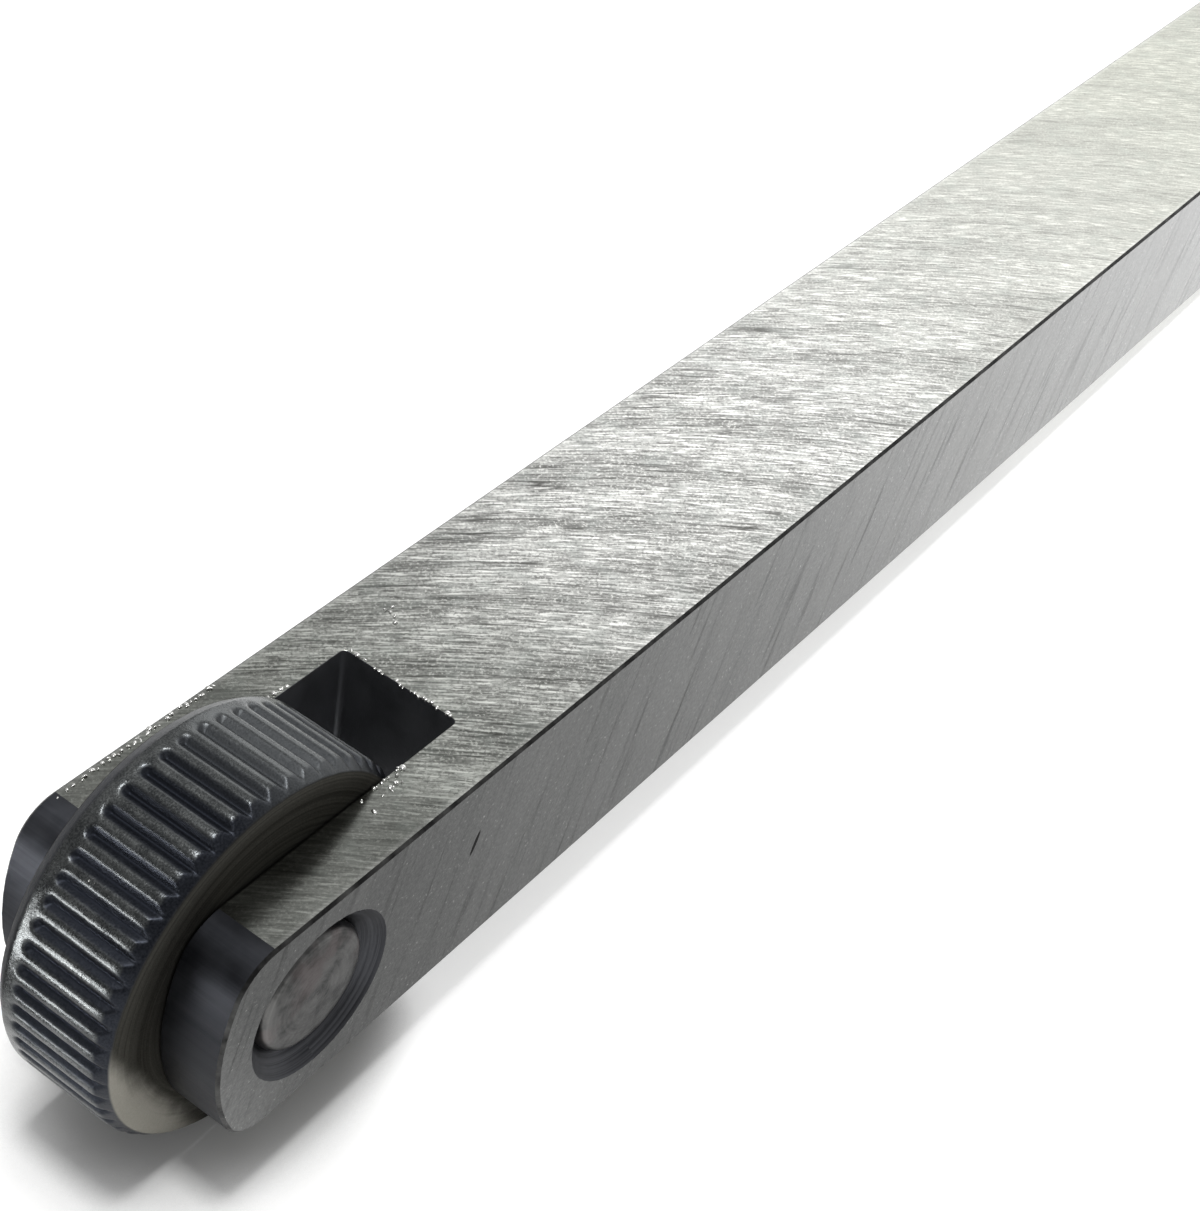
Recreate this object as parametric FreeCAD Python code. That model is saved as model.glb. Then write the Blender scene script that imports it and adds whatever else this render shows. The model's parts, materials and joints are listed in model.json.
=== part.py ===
import FreeCAD, Part
import math
import os

# Knurling tool: a ground bar whose forked head carries one straight knurl wheel on a pressed pin.
# All sizes are in millimetres. X runs along the bar from the wheel to the tail, Y across it and Z up.
# The origin is on the seat face under the bar, in the middle of the length that a tool post can hold.

# Bar
bar_length = 127.0        # front of the ears to the tail
bar_width = 12.7
bar_height = 11.1
edge_break = 0.15         # the long edges and the rounded fronts of the ears
tail_chamfer = 0.8

# Knurl wheel
wheel_diameter = 19.05    # over the teeth
wheel_width = 6.35
wheel_bore = 6.45
bevel_width = 0.65        # along the axle
bevel_drop = 0.52         # from the tread down to the flank
bore_chamfer = 0.3

# Teeth: V grooves that open into the front bevel and run out short of the back one
tooth_pitch = 1.108       # round the tread
groove_depth = 0.38
groove_angle = 90.0
groove_runout = 0.45      # smooth rim that is left behind the blind ends
cutter_overshoot = 0.1

# Axle pin
pin_clearance = 0.05      # between the wheel's bore and the pin, at the radius
pin_recess = 0.2          # each end below the side of the bar
pin_end_chamfer = 0.15
pin_crown = 0.12

# Forked head
front_clearance = 0.1     # front flank of the wheel to the front ear
back_clearance = 0.3      # back flank to the back ear
root_clearance = 2.725    # wheel to the root of the slot
root_radius = 0.3
slot_shift = 0.25         # the slot lies off the middle, so the back ear is the thinner one
nose_overhang = 6.25      # pin to the front of the ears
nose_radius = 10.0        # the ears' rounded front
nose_corner = 2.5         # rounding from the front into the top and bottom faces
sink_diameter = 8.5       # countersinks of the pin's hole
sink_angle = 90.0

tolerance = 1e-6          # for picking edges by their place

# Worked out from the sizes above
wheel_radius = wheel_diameter / 2
pin_radius = wheel_bore / 2 - pin_clearance
slot_width = front_clearance + wheel_width + back_clearance
slot_depth = nose_overhang + wheel_radius + root_clearance
seat_length = bar_length - slot_depth
nose_x = -seat_length / 2 - slot_depth
tail_x = nose_x + bar_length
pin_x = nose_x + nose_overhang
pin_z = bar_height / 2
root_x = nose_x + slot_depth
wheel_y = slot_shift - slot_width / 2 + front_clearance + wheel_width / 2
overshoot = 1.0           # how far cutters stand out of what they cut
along_y = FreeCAD.Vector(0, 1, 0)
pin_centre = FreeCAD.Vector(pin_x, 0, pin_z)


def point(x, y, z):
    return FreeCAD.Vector(x, y, z)


def turned(profile_points, arcs=()):
    """A solid turned about the wheel's axle from (radius, y) points; arcs maps an index to a mid point."""
    corners = [point(pin_x, y, pin_z + radius) for radius, y in profile_points]
    edges = []
    for index, corner in enumerate(corners):
        after = corners[(index + 1) % len(corners)]
        if index in arcs:
            radius, y = arcs[index]
            edges.append(Part.Arc(corner, point(pin_x, y, pin_z + radius), after).toShape())
        else:
            edges.append(Part.makeLine(corner, after))
    face = Part.Face(Part.Wire(edges))
    return face.revolve(pin_centre, along_y, 360)


def bar_blank():
    """The bar with its rounded front, drawn from the side and extruded across."""
    side = -bar_width / 2
    # each corner arc touches the front arc from inside and the top or bottom face
    corner_rise = bar_height / 2 - nose_corner
    centre_gap = nose_radius - nose_corner
    centre_x = nose_x + nose_radius
    corner_x = centre_x - math.sqrt(centre_gap ** 2 - corner_rise ** 2)
    lean = math.atan2(corner_rise, centre_x - corner_x)

    def on_corner(angle, sign):
        reach = nose_corner * math.cos(angle)
        return point(corner_x - reach, side, pin_z + sign * (corner_rise + nose_corner * math.sin(angle)))

    def corner_arc(sign):
        middle = (lean + math.pi / 2) / 2
        return Part.Arc(on_corner(lean, sign), on_corner(middle, sign), on_corner(math.pi / 2, sign)).toShape()

    tail_bottom = point(tail_x, side, 0)
    tail_top = point(tail_x, side, bar_height)
    outline = Part.Wire([
        Part.Arc(on_corner(lean, 1), point(nose_x, side, pin_z), on_corner(lean, -1)).toShape(),
        corner_arc(-1),
        Part.makeLine(point(corner_x, side, 0), tail_bottom),
        Part.makeLine(tail_bottom, tail_top),
        Part.makeLine(tail_top, point(corner_x, side, bar_height)),
        corner_arc(1),
    ])
    return Part.Face(outline).extrude(point(0, bar_width, 0))


def edges_where(shape, test):
    """The edges of a shape whose middle point passes a test."""
    def middle(edge):
        return edge.valueAt((edge.FirstParameter + edge.LastParameter) / 2)

    return [edge for edge in shape.Edges if test(middle(edge))]


def same(size, other):
    return abs(size - other) < tolerance


def break_edges(bar):
    """Larger chamfers round the tail, then small ones along both sides of the bar."""
    def at_tail(middle):
        return same(middle.x, tail_x)

    def on_side(middle):
        return same(abs(middle.y), bar_width / 2) and middle.x < tail_x - tail_chamfer - tolerance

    bar = bar.makeChamfer(tail_chamfer, edges_where(bar, at_tail))
    return bar.makeChamfer(edge_break, edges_where(bar, on_side))


def slot_cutter():
    """The slot that the wheel runs in, open at the front, with small radii at its root."""
    def in_root_corner(middle):
        return same(middle.x, root_x) and same(abs(middle.y - slot_shift), slot_width / 2)

    corner = point(nose_x - overshoot, slot_shift - slot_width / 2, -overshoot)
    blank = Part.makeBox(slot_depth + overshoot, slot_width, bar_height + 2 * overshoot, corner)
    return blank.makeFillet(root_radius, edges_where(blank, in_root_corner))


def pin_hole_cutter():
    """The cross hole through both ears and the countersinks at its two mouths."""
    half = bar_width / 2
    sink_radius = sink_diameter / 2
    sink_depth = (sink_radius - pin_radius) / math.tan(math.radians(sink_angle / 2))
    return turned([
        (0, -half - overshoot),
        (sink_radius, -half - overshoot),
        (sink_radius, -half),
        (pin_radius, -half + sink_depth),
        (pin_radius, half - sink_depth),
        (sink_radius, half),
        (sink_radius, half + overshoot),
        (0, half + overshoot),
    ])


def make_shank():
    bar = break_edges(bar_blank())
    return bar.cut(slot_cutter()).cut(pin_hole_cutter())


def groove_cutter():
    """One V groove over the top of the wheel: a straight run with a conical blind end."""
    half_angle = math.radians(groove_angle / 2)
    top_height = groove_depth + cutter_overshoot
    half_top = top_height * math.tan(half_angle)
    floor_z = pin_z + wheel_radius - groove_depth
    front_y = wheel_y - wheel_width / 2 - overshoot
    tread_end_y = wheel_y + wheel_width / 2 - bevel_width
    end_y = tread_end_y - groove_runout - groove_depth * math.tan(half_angle)
    floor = point(pin_x, front_y, floor_z)
    left = point(pin_x - half_top, front_y, floor_z + top_height)
    right = point(pin_x + half_top, front_y, floor_z + top_height)
    section = Part.Face(Part.makePolygon([floor, left, right, floor]))
    run = section.extrude(point(0, end_y - front_y, 0))
    end = Part.makeCone(0, half_top, top_height, point(pin_x, end_y, floor_z), point(0, 0, 1))
    return run.fuse(end)


def make_wheel():
    front = wheel_y - wheel_width / 2
    back = wheel_y + wheel_width / 2
    bore_radius = wheel_bore / 2
    flank_radius = wheel_radius - bevel_drop
    blank = turned([
        (bore_radius + bore_chamfer, front),
        (flank_radius, front),
        (wheel_radius, front + bevel_width),
        (wheel_radius, back - bevel_width),
        (flank_radius, back),
        (bore_radius + bore_chamfer, back),
        (bore_radius, back - bore_chamfer),
        (bore_radius, front + bore_chamfer),
    ])
    tooth_count = round(math.pi * wheel_diameter / tooth_pitch)
    first = groove_cutter()
    cutters = []
    for index in range(tooth_count):
        cutter = first.copy()
        cutter.rotate(pin_centre, along_y, 360.0 * index / tooth_count)
        cutters.append(cutter)
    return blank.cut(cutters)


def make_pin():
    """The pin with chamfered and slightly crowned ends, each a little below its side of the bar."""
    crown_y = bar_width / 2 - pin_recess
    rim_y = crown_y - pin_crown
    end_radius = pin_radius - pin_end_chamfer
    # the crown's arc passes through this point halfway out from the middle
    crown_radius = (end_radius ** 2 + pin_crown ** 2) / (2 * pin_crown)
    mid_radius = end_radius / 2
    mid_y = crown_y - crown_radius + math.sqrt(crown_radius ** 2 - mid_radius ** 2)
    return turned([
        (0, -crown_y),
        (end_radius, -rim_y),
        (pin_radius, -rim_y + pin_end_chamfer),
        (pin_radius, rim_y - pin_end_chamfer),
        (end_radius, rim_y),
        (0, crown_y),
    ], {0: (mid_radius, -mid_y), 4: (mid_radius, mid_y)})


def solid_of(shape):
    """The one solid that a cut or a turning leaves, cleaned of stray seams."""
    solids = shape.removeSplitter().Solids
    assert len(solids) == 1
    return solids[0]


os.makedirs("parts", exist_ok=True)
pieces = {
    "shank": make_shank(),
    "knurl_wheel": make_wheel(),
    "axle_pin": make_pin(),
}
for name, shape in pieces.items():
    solid = solid_of(shape)
    assert solid.isValid()
    solid.exportStep("parts/" + name + ".step")
    print(name, round(solid.Volume, 3), solid.BoundBox)
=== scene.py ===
import json
import math
import bmesh
import bpy
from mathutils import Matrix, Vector


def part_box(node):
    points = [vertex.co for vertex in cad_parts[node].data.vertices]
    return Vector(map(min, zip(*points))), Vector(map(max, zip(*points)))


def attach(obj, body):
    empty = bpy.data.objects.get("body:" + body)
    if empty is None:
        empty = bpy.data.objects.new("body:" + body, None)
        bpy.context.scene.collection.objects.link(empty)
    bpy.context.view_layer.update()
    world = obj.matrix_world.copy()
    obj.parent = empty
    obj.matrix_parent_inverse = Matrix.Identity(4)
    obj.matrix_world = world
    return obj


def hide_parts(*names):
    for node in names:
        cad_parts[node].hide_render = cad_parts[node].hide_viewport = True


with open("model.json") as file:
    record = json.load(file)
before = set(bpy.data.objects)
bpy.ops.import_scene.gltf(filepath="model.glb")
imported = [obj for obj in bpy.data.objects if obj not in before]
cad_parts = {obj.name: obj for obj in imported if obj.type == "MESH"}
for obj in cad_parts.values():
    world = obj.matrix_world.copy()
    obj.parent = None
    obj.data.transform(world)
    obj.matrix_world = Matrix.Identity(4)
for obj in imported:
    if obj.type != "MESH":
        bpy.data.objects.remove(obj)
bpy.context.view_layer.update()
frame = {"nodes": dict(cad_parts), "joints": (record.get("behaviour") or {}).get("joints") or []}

# Knurling tool: a ground bar with a forked head, a straight knurl wheel and the pin that it turns on.
# Everything is in metres, +X from the wheel to the tail, +Y across the bar, +Z up.

mm = 0.001
barLow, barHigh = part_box("shank")
pinLow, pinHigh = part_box("axle_pin")
wheelLow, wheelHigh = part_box("knurl_wheel")
axle = Vector(frame["joints"][0]["pos_m"])      # middle of the wheel, on the pin's axis
wheelRadius = (wheelHigh.z - wheelLow.z) / 2
wheelHalfWidth = (wheelHigh.y - wheelLow.y) / 2
pinRadius = (pinHigh.z - pinLow.z) / 2


def newObject(name, mesh):
    piece = bpy.data.objects.new(name, mesh)
    bpy.context.scene.collection.objects.link(piece)
    return piece


def meshFrom(name, points, faces):
    mesh = bpy.data.meshes.new(name)
    mesh.from_pydata(points, [], faces)
    mesh.update()
    return mesh


def colour(red, green, blue):
    return (red, green, blue, 1.0)


# A short way to build node trees: each call adds a node, sets its values and links its inputs
class Nodes:
    def __init__(self, tree):
        self.tree = tree

    def add(self, kind, inputs=None, **settings):
        node = self.tree.nodes.new(kind)
        for name, value in settings.items():
            setattr(node, name, value)
        for socket, value in (inputs or {}).items():
            if isinstance(value, bpy.types.NodeSocket):
                self.tree.links.new(value, node.inputs[socket])
            else:
                node.inputs[socket].default_value = value
        return node

    def math(self, operation, first, second=0.0, third=None):
        inputs = {0: first, 1: second}
        if third is not None:
            inputs[2] = third
        return self.add("ShaderNodeMath", inputs, operation=operation).outputs[0]

    def ramp(self, value, low, high, start=0.0, end=1.0, smooth=False):
        inputs = {"Value": value, "From Min": low, "From Max": high, "To Min": start, "To Max": end}
        kind = "SMOOTHSTEP" if smooth else "LINEAR"
        return self.add("ShaderNodeMapRange", inputs, interpolation_type=kind).outputs[0]

    def mix(self, factor, first, second, blend="MIX"):
        node = self.add("ShaderNodeMix", {0: factor, 6: first, 7: second}, data_type="RGBA", blend_type=blend)
        return node.outputs[2]

    def vector(self, operation, first, second=None, scale=None):
        inputs = {0: first}
        if second is not None:
            inputs[1] = second
        if scale is not None:
            inputs[3] = scale
        return self.add("ShaderNodeVectorMath", inputs, operation=operation)

    def join(self, x=0.0, y=0.0, z=0.0):
        return self.add("ShaderNodeCombineXYZ", {0: x, 1: y, 2: z}).outputs[0]

    def split(self, vector):
        return self.add("ShaderNodeSeparateXYZ", {0: vector}).outputs

    def noise(self, vector, scale=1.0, detail=2.0, roughness=0.5):
        inputs = {"Vector": vector, "Scale": scale, "Detail": detail, "Roughness": roughness}
        return self.add("ShaderNodeTexNoise", inputs).outputs[0]

    def use(self, group, **values):
        node = self.add("ShaderNodeGroup")
        node.node_tree = group
        for name, value in values.items():
            socket = node.inputs[name]
            if isinstance(value, bpy.types.NodeSocket):
                self.tree.links.new(value, socket)
            else:
                socket.default_value = value
        return node.outputs

    def feed(self, shader, **values):
        names = {"base": "Base Color", "rough": "Roughness", "normal": "Normal"}
        for name, value in values.items():
            self.tree.links.new(value, shader.inputs[names[name]])


def newGroup(name, inputs, outputs):
    kinds = {"float": "NodeSocketFloat", "vector": "NodeSocketVector", "colour": "NodeSocketColor"}
    group = bpy.data.node_groups.new(name, "ShaderNodeTree")
    for socket, kind, value in inputs:
        made = group.interface.new_socket(socket, in_out="INPUT", socket_type=kinds[kind])
        made.default_value = value
    for socket, kind in outputs:
        group.interface.new_socket(socket, in_out="OUTPUT", socket_type=kinds[kind])
    nodes = Nodes(group)
    return group, nodes, nodes.add("NodeGroupInput").outputs, nodes.add("NodeGroupOutput")


# Shared surface effects

# Lines that a grinding wheel leaves on a face: x + slope * y + bend * y * y stays the same along each of them.
# They come out as fine lines, broad bands, short dashes and a few long scratches
def makeGrindingLines():
    group, nodes, given, result = newGroup(
        "grindingLines",
        [("Position", "vector", (0, 0, 0)), ("Slope", "float", 0.0), ("Bend", "float", 0.0),
         ("Spacing", "float", 0.2), ("Length", "float", 8.0), ("Seed", "float", 0.0)],
        [("Lines", "float"), ("Bands", "float"), ("Dashes", "float"), ("Scratches", "float")])
    place = nodes.split(nodes.vector("SCALE", given["Position"], scale=1 / mm).outputs[0])
    lean = nodes.math("ADD", given["Slope"], nodes.math("MULTIPLY", given["Bend"], place[1]))
    offset = nodes.math("ADD", place[0], nodes.math("MULTIPLY", lean, place[1]))
    stretch = nodes.math("SQRT", nodes.math("MULTIPLY_ADD", given["Slope"], given["Slope"], 1.0))
    across = nodes.math("DIVIDE", nodes.math("DIVIDE", offset, stretch), given["Spacing"])
    along = nodes.math("DIVIDE", nodes.math("MULTIPLY", place[1], stretch), given["Length"])

    def streaks(alongScale, acrossScale, detail, roughness=0.6):
        stretched = nodes.join(nodes.math("MULTIPLY", along, alongScale),
                               nodes.math("MULTIPLY", across, acrossScale), given["Seed"])
        return nodes.noise(stretched, 1.0, detail, roughness)

    thin = nodes.math("ABSOLUTE", nodes.math("SUBTRACT", streaks(0.45, 0.7, 0.0), 0.5))
    made = (streaks(1.0, 1.0, 3.0, 0.7), streaks(0.5, 0.11, 2.0), streaks(4.5, 1.7, 1.0),
            nodes.ramp(thin, 0.0, 0.035, 1.0, 0.0))
    for index, value in enumerate(made):
        nodes.tree.links.new(value, result.inputs[index])
    return group


# Uneven tone and fine grain, the same in every direction
def makeMottle():
    group, nodes, given, result = newGroup(
        "mottle", [("Position", "vector", (0, 0, 0)), ("Size", "float", 1.0), ("Seed", "float", 0.0)],
        [("Cloud", "float"), ("Grain", "float")])
    inMm = nodes.vector("SCALE", given["Position"], scale=1 / mm).outputs[0]
    placed = nodes.vector("ADD", inMm, nodes.join(given["Seed"], given["Seed"], given["Seed"])).outputs[0]
    sized = nodes.vector("SCALE", placed, scale=nodes.math("DIVIDE", 1.0, given["Size"])).outputs[0]
    cloud = nodes.noise(sized, 1.0, 3.0, 0.55)
    grain = nodes.noise(sized, 11.0, 2.0, 0.6)
    for socket, value in zip(range(2), (cloud, grain)):
        nodes.tree.links.new(value, result.inputs[socket])
    return group


# Rings round the axle, as turning or facing leaves them
def makeTurnedRings():
    group, nodes, given, result = newGroup(
        "turnedRings",
        [("Position", "vector", (0, 0, 0)), ("Centre", "vector", tuple(axle)), ("Spacing", "float", 0.1),
         ("Seed", "float", 0.0)],
        [("Rings", "float"), ("Radius", "float")])
    offset = nodes.vector("SCALE", nodes.vector("SUBTRACT", given["Position"], given["Centre"]).outputs[0],
                          scale=1 / mm).outputs[0]
    apart = nodes.split(offset)
    radius = nodes.math("SQRT", nodes.math("ADD", nodes.math("MULTIPLY", apart[0], apart[0]),
                                           nodes.math("MULTIPLY", apart[2], apart[2])))
    turn = nodes.math("MULTIPLY", nodes.math("ARCTAN2", apart[0], apart[2]), 0.35)
    outward = nodes.math("DIVIDE", radius, given["Spacing"])
    sideways = nodes.math("ADD", given["Seed"], nodes.math("DIVIDE", apart[1], given["Spacing"]))
    rings = nodes.noise(nodes.join(outward, turn, sideways), 1.0, 2.0, 0.6)
    for socket, value in zip(range(2), (rings, radius)):
        nodes.tree.links.new(value, result.inputs[socket])
    return group


grindingLines = makeGrindingLines()
mottle = makeMottle()
turnedRings = makeTurnedRings()


def newMaterial(name):
    material = bpy.data.materials.new(name)
    material.use_nodes = True
    tree = material.node_tree
    tree.nodes.clear()
    nodes = Nodes(tree)
    shader = nodes.add("ShaderNodeBsdfPrincipled", {"Metallic": 1.0})
    nodes.add("ShaderNodeOutputMaterial", {"Surface": shader.outputs[0]})
    place = nodes.add("ShaderNodeTexCoord").outputs["Object"]
    return material, nodes, shader, place


def bumped(nodes, height, strength, distance):
    return nodes.add("ShaderNodeBump", {"Strength": strength, "Distance": distance, "Height": height}).outputs[0]


# Finishes of the bar

# Top and bottom: diagonal grinding lines, bent like the rim of the grinding wheel
groundSizes = {
    "slope": 0.925,                # 42 degrees to the bar at the far edge, 53 at the near one
    "bend": 0.0146,
    "spacing": 0.24,
    "length": 6.0,
    "paintedShadeEnd": -52.0 * mm,         # painted shade: the top is greyer towards the head, up to here
    "earEnd": -60.0 * mm,          # rubbed smooth beside the wheel
    "plainStart": 0.0 * mm,        # the lines are fainter beyond this
    "rimStart": 5.95 * mm,         # a paler rubbed line along both edges
}


def makeGroundTop(s):
    material, nodes, shader, place = newMaterial("groundTop")
    apart = nodes.split(place)
    lines = nodes.use(grindingLines, Position=place, Slope=s["slope"], Bend=s["bend"], Spacing=s["spacing"],
                      Length=s["length"], Seed=2.0)
    spots = nodes.use(mottle, Position=place, Size=1.6, Seed=5.0)
    plain = nodes.ramp(apart[0], s["plainStart"] - 25 * mm, s["plainStart"] + 10 * mm, 1.0, 0.35)
    rubbed = nodes.ramp(apart[0], s["earEnd"] + 3 * mm, s["earEnd"] - 1 * mm, 0.0, 1.0, True)
    plain = nodes.math("MULTIPLY", plain, nodes.math("MULTIPLY_ADD", rubbed, -0.5, 1.0))
    tone = nodes.math("ADD", nodes.ramp(lines["Lines"], 0.38, 0.6, 0.0, 0.5),
                      nodes.ramp(lines["Bands"], 0.38, 0.6, 0.0, 0.5))
    tone = nodes.math("MULTIPLY_ADD", nodes.math("SUBTRACT", tone, 0.5), plain, 0.5)
    base = nodes.mix(tone, colour(0.2, 0.202, 0.192), colour(0.6, 0.602, 0.58))
    dark = nodes.math("MULTIPLY", nodes.ramp(lines["Dashes"], 0.46, 0.36, 0.0, 0.6), plain)
    base = nodes.mix(dark, base, colour(0.1, 0.1, 0.095))
    pale = nodes.math("MULTIPLY", nodes.ramp(lines["Dashes"], 0.55, 0.64, 0.0, 0.95),
                      nodes.math("MULTIPLY", plain, nodes.ramp(lines["Bands"], 0.38, 0.56, 0.3, 1.0)))
    base = nodes.mix(pale, base, colour(0.95, 0.95, 0.92))
    dark = nodes.math("MULTIPLY", nodes.ramp(spots["Grain"], 0.44, 0.34, 0.0, 0.55), plain)
    base = nodes.mix(dark, base, colour(0.12, 0.12, 0.115))
    pale = nodes.math("MULTIPLY", nodes.ramp(spots["Grain"], 0.56, 0.66, 0.0, 0.6), plain)
    base = nodes.mix(pale, base, colour(0.85, 0.85, 0.82))
    scratches = nodes.math("MULTIPLY", lines["Scratches"], nodes.ramp(lines["Bands"], 0.44, 0.6, 0.95, 0.2))
    base = nodes.mix(nodes.math("MULTIPLY", scratches, plain), base, colour(0.08, 0.08, 0.075))
    base = nodes.mix(nodes.ramp(spots["Cloud"], 0.5, 0.64, 0.0, 0.2), base, colour(0.4, 0.43, 0.41))
    # the top turns slightly yellower towards the tail
    yellowerTowardsTail = nodes.ramp(apart[0], s["plainStart"] - 20 * mm, s["plainStart"] + 30 * mm)
    base = nodes.mix(yellowerTowardsTail, base, colour(0.96, 0.97, 0.9), "MULTIPLY")
    # painted shade: the top's colour is darkened towards the head
    paintedShadeAtHead = nodes.ramp(apart[0], s["paintedShadeEnd"] - 8 * mm, s["paintedShadeEnd"] + 14 * mm, 0.8, 0.0, True)
    base = nodes.mix(paintedShadeAtHead, base, colour(0.48, 0.5, 0.47), "MULTIPLY")
    rim = nodes.ramp(nodes.math("ABSOLUTE", apart[1]), s["rimStart"], s["rimStart"] + 0.15 * mm, 0.0, 0.15)
    base = nodes.mix(rim, base, colour(0.7, 0.7, 0.68))
    rough = nodes.math("MULTIPLY", nodes.ramp(lines["Bands"], 0.3, 0.7, 0.3, 0.38),
                       nodes.math("MULTIPLY_ADD", rubbed, -0.35, 1.0))
    height = nodes.math("ADD", lines["Lines"], nodes.math("MULTIPLY", lines["Dashes"], 0.4))
    height = nodes.math("MULTIPLY", height, nodes.math("MULTIPLY_ADD", rubbed, -0.6, 1.0))
    nodes.feed(shader, base=base, rough=rough, normal=bumped(nodes, height, 0.5, 0.02 * mm))
    return material


# Long sides: smooth satin with a few steep dark streaks, and one short nick on the side that faces -Y
sideSizes = {
    "slope": -0.344,               # 71 degrees to the bar
    "nickMiddle": (10.2 * mm, 1.55 * mm),     # behind and above the pin's axis
    "nickLength": 1.5 * mm,
    "nickWidth": 0.3 * mm,
    "nickLean": 22.0,
}


def makeNick(nodes, place, s):
    apart = nodes.split(place)
    x = nodes.math("SUBTRACT", apart[0], axle.x + s["nickMiddle"][0])
    z = nodes.math("SUBTRACT", apart[2], axle.z + s["nickMiddle"][1])
    leaned = nodes.split(nodes.add("ShaderNodeVectorRotate", {"Vector": nodes.join(x, z, 0.0),
                                                              "Angle": math.radians(s["nickLean"])},
                                   rotation_type="Z_AXIS").outputs[0])
    wide = nodes.math("DIVIDE", leaned[0], s["nickWidth"] / 2)
    long = nodes.math("DIVIDE", leaned[1], s["nickLength"] / 2)
    squared = nodes.math("ADD", nodes.math("MULTIPLY", wide, wide), nodes.math("MULTIPLY", long, long))
    return nodes.math("MULTIPLY", nodes.ramp(squared, 0.4, 1.2, 1.0, 0.0, True),
                      nodes.math("LESS_THAN", apart[1], 0.0))


def makeGroundSide(s):
    material, nodes, shader, place = newMaterial("groundSide")
    apart = nodes.split(place)
    flat = nodes.join(apart[0], apart[2], apart[1])
    lines = nodes.use(grindingLines, Position=flat, Slope=s["slope"], Spacing=0.5, Length=10.0, Seed=7.0)
    spots = nodes.use(mottle, Position=place, Size=1.8, Seed=1.0)
    tone = nodes.math("ADD", nodes.ramp(lines["Bands"], 0.36, 0.64, 0.0, 0.45),
                      nodes.ramp(spots["Grain"], 0.36, 0.64, 0.0, 0.55))
    # painted shade: the sides' steel is kept far darker than the top's, as the sides mirror the shaded floor beside
    # the bar
    base = nodes.mix(tone, colour(0.05, 0.052, 0.051), colour(0.12, 0.122, 0.119))
    streaks = nodes.ramp(lines["Lines"], 0.5, 0.72, 0.0, 0.32, True)
    base = nodes.mix(streaks, base, colour(0.02, 0.02, 0.02))
    base = nodes.mix(nodes.ramp(spots["Grain"], 0.68, 0.76, 0.0, 0.6), base, colour(0.5, 0.5, 0.48))
    nick = makeNick(nodes, place, s)
    base = nodes.mix(nick, base, colour(0.01, 0.01, 0.01))
    marks = nodes.math("MAXIMUM", nick, streaks)
    tint = nodes.mix(marks, colour(1, 1, 1), colour(0.02, 0.02, 0.02))
    nodes.tree.links.new(tint, shader.inputs["Specular Tint"])
    rough = nodes.ramp(lines["Bands"], 0.3, 0.7, 0.24, 0.31)
    height = nodes.math("SUBTRACT", nodes.math("MULTIPLY_ADD", lines["Lines"], 0.6, spots["Grain"]), nick)
    nodes.feed(shader, base=base, rough=rough, normal=bumped(nodes, height, 0.3, 0.02 * mm))
    shader.inputs["Coat Weight"].default_value = 0.25     # a film of oil
    shader.inputs["Coat Roughness"].default_value = 0.2
    return material


# Rounded front of the ears and slot walls: milled and unground, bluish and darker; the darkness is partly painted
# shade, as these faces turn away from the light
milledSizes = {
    "nearEarShadeSide": (-2.8 * mm, 2.8 * mm),         # painted shade: darker towards the near ear, beside the wheel's dark flank
    "nearEarShade": (0.5, 0.2),
    "slotLightStart": 5 * mm,          # painted light: paler deep in the slot, measured from the axle
    "slotLightEnd": (-50 * mm, -40 * mm),          # and less so beyond it, at the tail
}


def makeMilledSteel(s):
    material, nodes, shader, place = newMaterial("milledSteel")
    apart = nodes.split(place)
    flat = nodes.join(apart[2], apart[1], apart[0])
    lines = nodes.use(grindingLines, Position=flat, Spacing=0.2, Length=14.0, Seed=3.0)
    spots = nodes.use(mottle, Position=place, Size=1.5, Seed=9.0)
    tone = nodes.math("ADD", nodes.ramp(lines["Lines"], 0.3, 0.7, 0.0, 0.5),
                      nodes.ramp(spots["Cloud"], 0.3, 0.7, 0.0, 0.5))
    base = nodes.mix(tone, colour(0.034, 0.036, 0.042), colour(0.075, 0.078, 0.088))
    # painted shade: the milled faces turn darker towards the near ear
    base = nodes.mix(nodes.ramp(apart[1], *s["nearEarShadeSide"], *s["nearEarShade"]), base, colour(0.0, 0.0, 0.0))
    # painted light: the walls are paler deep in the slot, and less so at the tail
    paintedSlotLight = nodes.ramp(apart[0], axle.x, axle.x + s["slotLightStart"], 0.0, 0.6)
    paintedSlotLight = nodes.math("MULTIPLY", paintedSlotLight, nodes.ramp(apart[0], *s["slotLightEnd"], 1.0, 0.4))
    base = nodes.mix(paintedSlotLight, base, colour(0.42, 0.43, 0.46))
    rough = nodes.ramp(spots["Cloud"], 0.3, 0.7, 0.42, 0.54)
    nodes.feed(shader, base=base, rough=rough, normal=bumped(nodes, lines["Lines"], 0.3, 0.02 * mm))
    return material


# Small edge breaks, kept dark: painted shade, as they face dark surroundings
def makePaintedShadeEdge():
    material, nodes, shader, place = newMaterial("paintedShadeEdge")
    spots = nodes.use(mottle, Position=place, Size=0.9, Seed=4.0)
    base = nodes.mix(nodes.ramp(spots["Cloud"], 0.35, 0.75), colour(0.02, 0.02, 0.02), colour(0.09, 0.09, 0.088))
    nodes.feed(shader, base=base, rough=nodes.ramp(spots["Grain"], 0.3, 0.7, 0.35, 0.55),
               normal=bumped(nodes, spots["Grain"], 0.4, 0.02 * mm))
    return material


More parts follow.
